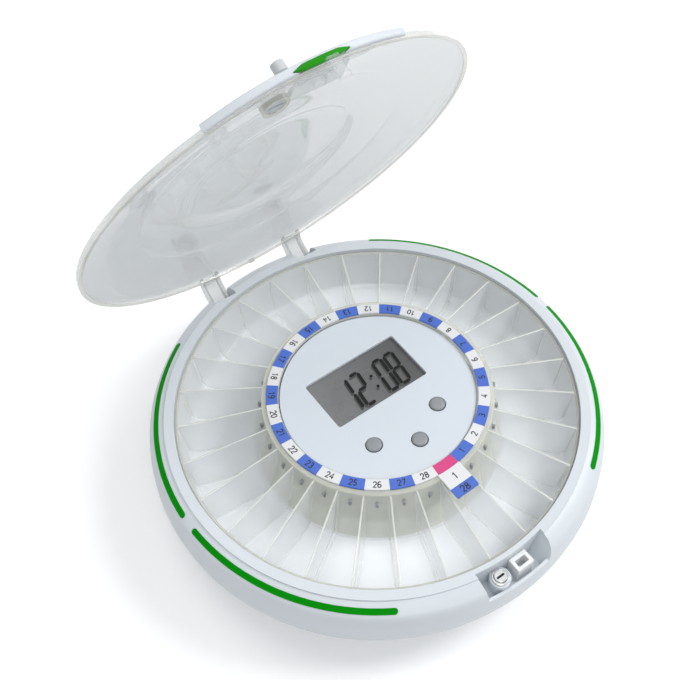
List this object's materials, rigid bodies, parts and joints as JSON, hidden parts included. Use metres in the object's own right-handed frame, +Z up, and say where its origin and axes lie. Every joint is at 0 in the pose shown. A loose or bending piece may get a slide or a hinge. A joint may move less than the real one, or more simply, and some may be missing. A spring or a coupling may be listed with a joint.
{
  "type": "automatic pill dispenser",
  "caption": "Round tabletop pill dispenser: motor-driven tray of wedge bays, clear hinged lid with key lock, raised centre with display and buttons.",
  "frame": {"origin": "on the table below the centre of the round base", "axes": "+Z up, -Y the front with the lock and the latch, +Y the back with the lid's hinge, +X the user's right"},
  "size_m": [0.22, 0.2251, 0.2263],
  "materials": {
    "white_shell": "satin white shell",
    "white_part": "plain white moulding",
    "green": "glossy green",
    "clear_tray": "clear, slightly warm",
    "clear_lid": "clear",
    "panel_white": "fine matte white",
    "lcd": "grey liquid crystal display",
    "button_grey": "grey, satin",
    "board_green": "lacquered circuit board",
    "black_part": "black moulding",
    "connector_pink": "conductive rubber",
    "steel": "plain steel",
    "spring_steel": "plated steel",
    "brass_gear": "machined",
    "lock_chrome": "polished",
    "cell_sleeve": "printed sleeve, bare",
    "rubber_dark": "soft dark grey",
    "number_blue": "white with blue cells and plain numbers",
    "stud_grey": "grey"
  },
  "bodies": {
    "base": {"bottom_shell": "white_shell", "upper_shell": "white_shell", "light_strips": "green", "strip_boards": "board_green", "hub_housing": "white_part", "control_panel": "panel_white", "lcd_glass": "lcd", "lcd_connectors": "connector_pink", "circuit_board": "board_green", "controller_chip": "black_part", "button_switches": "steel", "buzzer": "black_part", "motor": "steel", "motor_bracket": "white_part", "gear_pin": "steel", "glide_ring": "white_part", "index_sensor": "black_part", "battery_box": "white_part", "batteries": "cell_sleeve", "battery_contacts": "spring_steel", "battery_springs": "spring_steel", "battery_door": "white_shell", "door_screw": "steel", "shell_screws": "steel", "rubber_foot": "rubber_dark", "hinge_pins": "steel", "latch_catch": "white_part", "lock_barrel": "lock_chrome"},
    "tray": {"turntable": "white_part", "turntable_spigot": "white_part", "ring_gear": "white_part", "tray_floor": "clear_tray", "tray_outer_wall": "clear_tray", "tray_inner_wall": "clear_tray", "tray_dividers": "clear_tray", "tray_nibs": "stud_grey", "number_ring": "number_blue", "ring_tab": "number_blue"},
    "idler": {"drive_gear": "white_part"},
    "motor_shaft": {"motor_pinion": "brass_gear"},
    "lid": {"lid_shell": "clear_lid", "hinge_arms": "clear_lid", "lid_trim": "white_shell", "lift_stud": "stud_grey", "lid_boss": "clear_lid", "boss_screw": "stud_grey", "latch_guide": "clear_lid"},
    "release": {"release_button": "green", "latch_hook": "clear_lid"},
    "lock": {"lock_plug": "lock_chrome", "lock_cam": "steel"},
    "left_key": {"button_left": "button_grey"},
    "middle_key": {"button_middle": "button_grey"},
    "right_key": {"button_right": "button_grey"}
  },
  "joints": [
    {"name": "tray_spin", "type": "hinge", "parent": "base", "child": "tray", "pos_m": [0, 0, 0.0197], "axis": [0, 0, 1], "continuous": true},
    {"name": "idler_spin", "type": "hinge", "parent": "base", "child": "idler", "pos_m": [0, 0.04, 0.0146], "axis": [0, 0, 1], "continuous": true},
    {"name": "motor_spin", "type": "hinge", "parent": "base", "child": "motor_shaft", "pos_m": [-0.01299, 0.0325, 0.0146], "axis": [0, 0, 1], "continuous": true},
    {"name": "lid_hinge", "type": "hinge", "parent": "base", "child": "lid", "pos_m": [0, 0.103, 0.0333], "axis": [-1, 0, 0], "range_deg": [-65, 25]},
    {"name": "release_press", "type": "slide", "parent": "lid", "child": "release", "axis": [0, 0.4226, -0.9063], "range_m": [0, 0.0009], "stiffness_N_per_m": 600, "springref_m": -0.001},
    {"name": "lock_turn", "type": "hinge", "parent": "base", "child": "lock", "pos_m": [-0.011, -0.1025, 0.0406], "axis": [0, 0, 1], "range_deg": [-90, 0]},
    {"name": "left_press", "type": "slide", "parent": "base", "child": "left_key", "axis": [0, 0, -1], "range_m": [0, 0.0008], "stiffness_N_per_m": 800, "springref_m": -0.001},
    {"name": "middle_press", "type": "slide", "parent": "base", "child": "middle_key", "axis": [0, 0, -1], "range_m": [0, 0.0008], "stiffness_N_per_m": 800, "springref_m": -0.001},
    {"name": "right_press", "type": "slide", "parent": "base", "child": "right_key", "axis": [0, 0, -1], "range_m": [0, 0.0008], "stiffness_N_per_m": 800, "springref_m": -0.001}
  ],
  "couplings": [
    {"joint": "idler_spin", "follows": "tray_spin", "ratio": 5},
    {"joint": "motor_spin", "follows": "tray_spin", "ratio": -10}
  ]
}
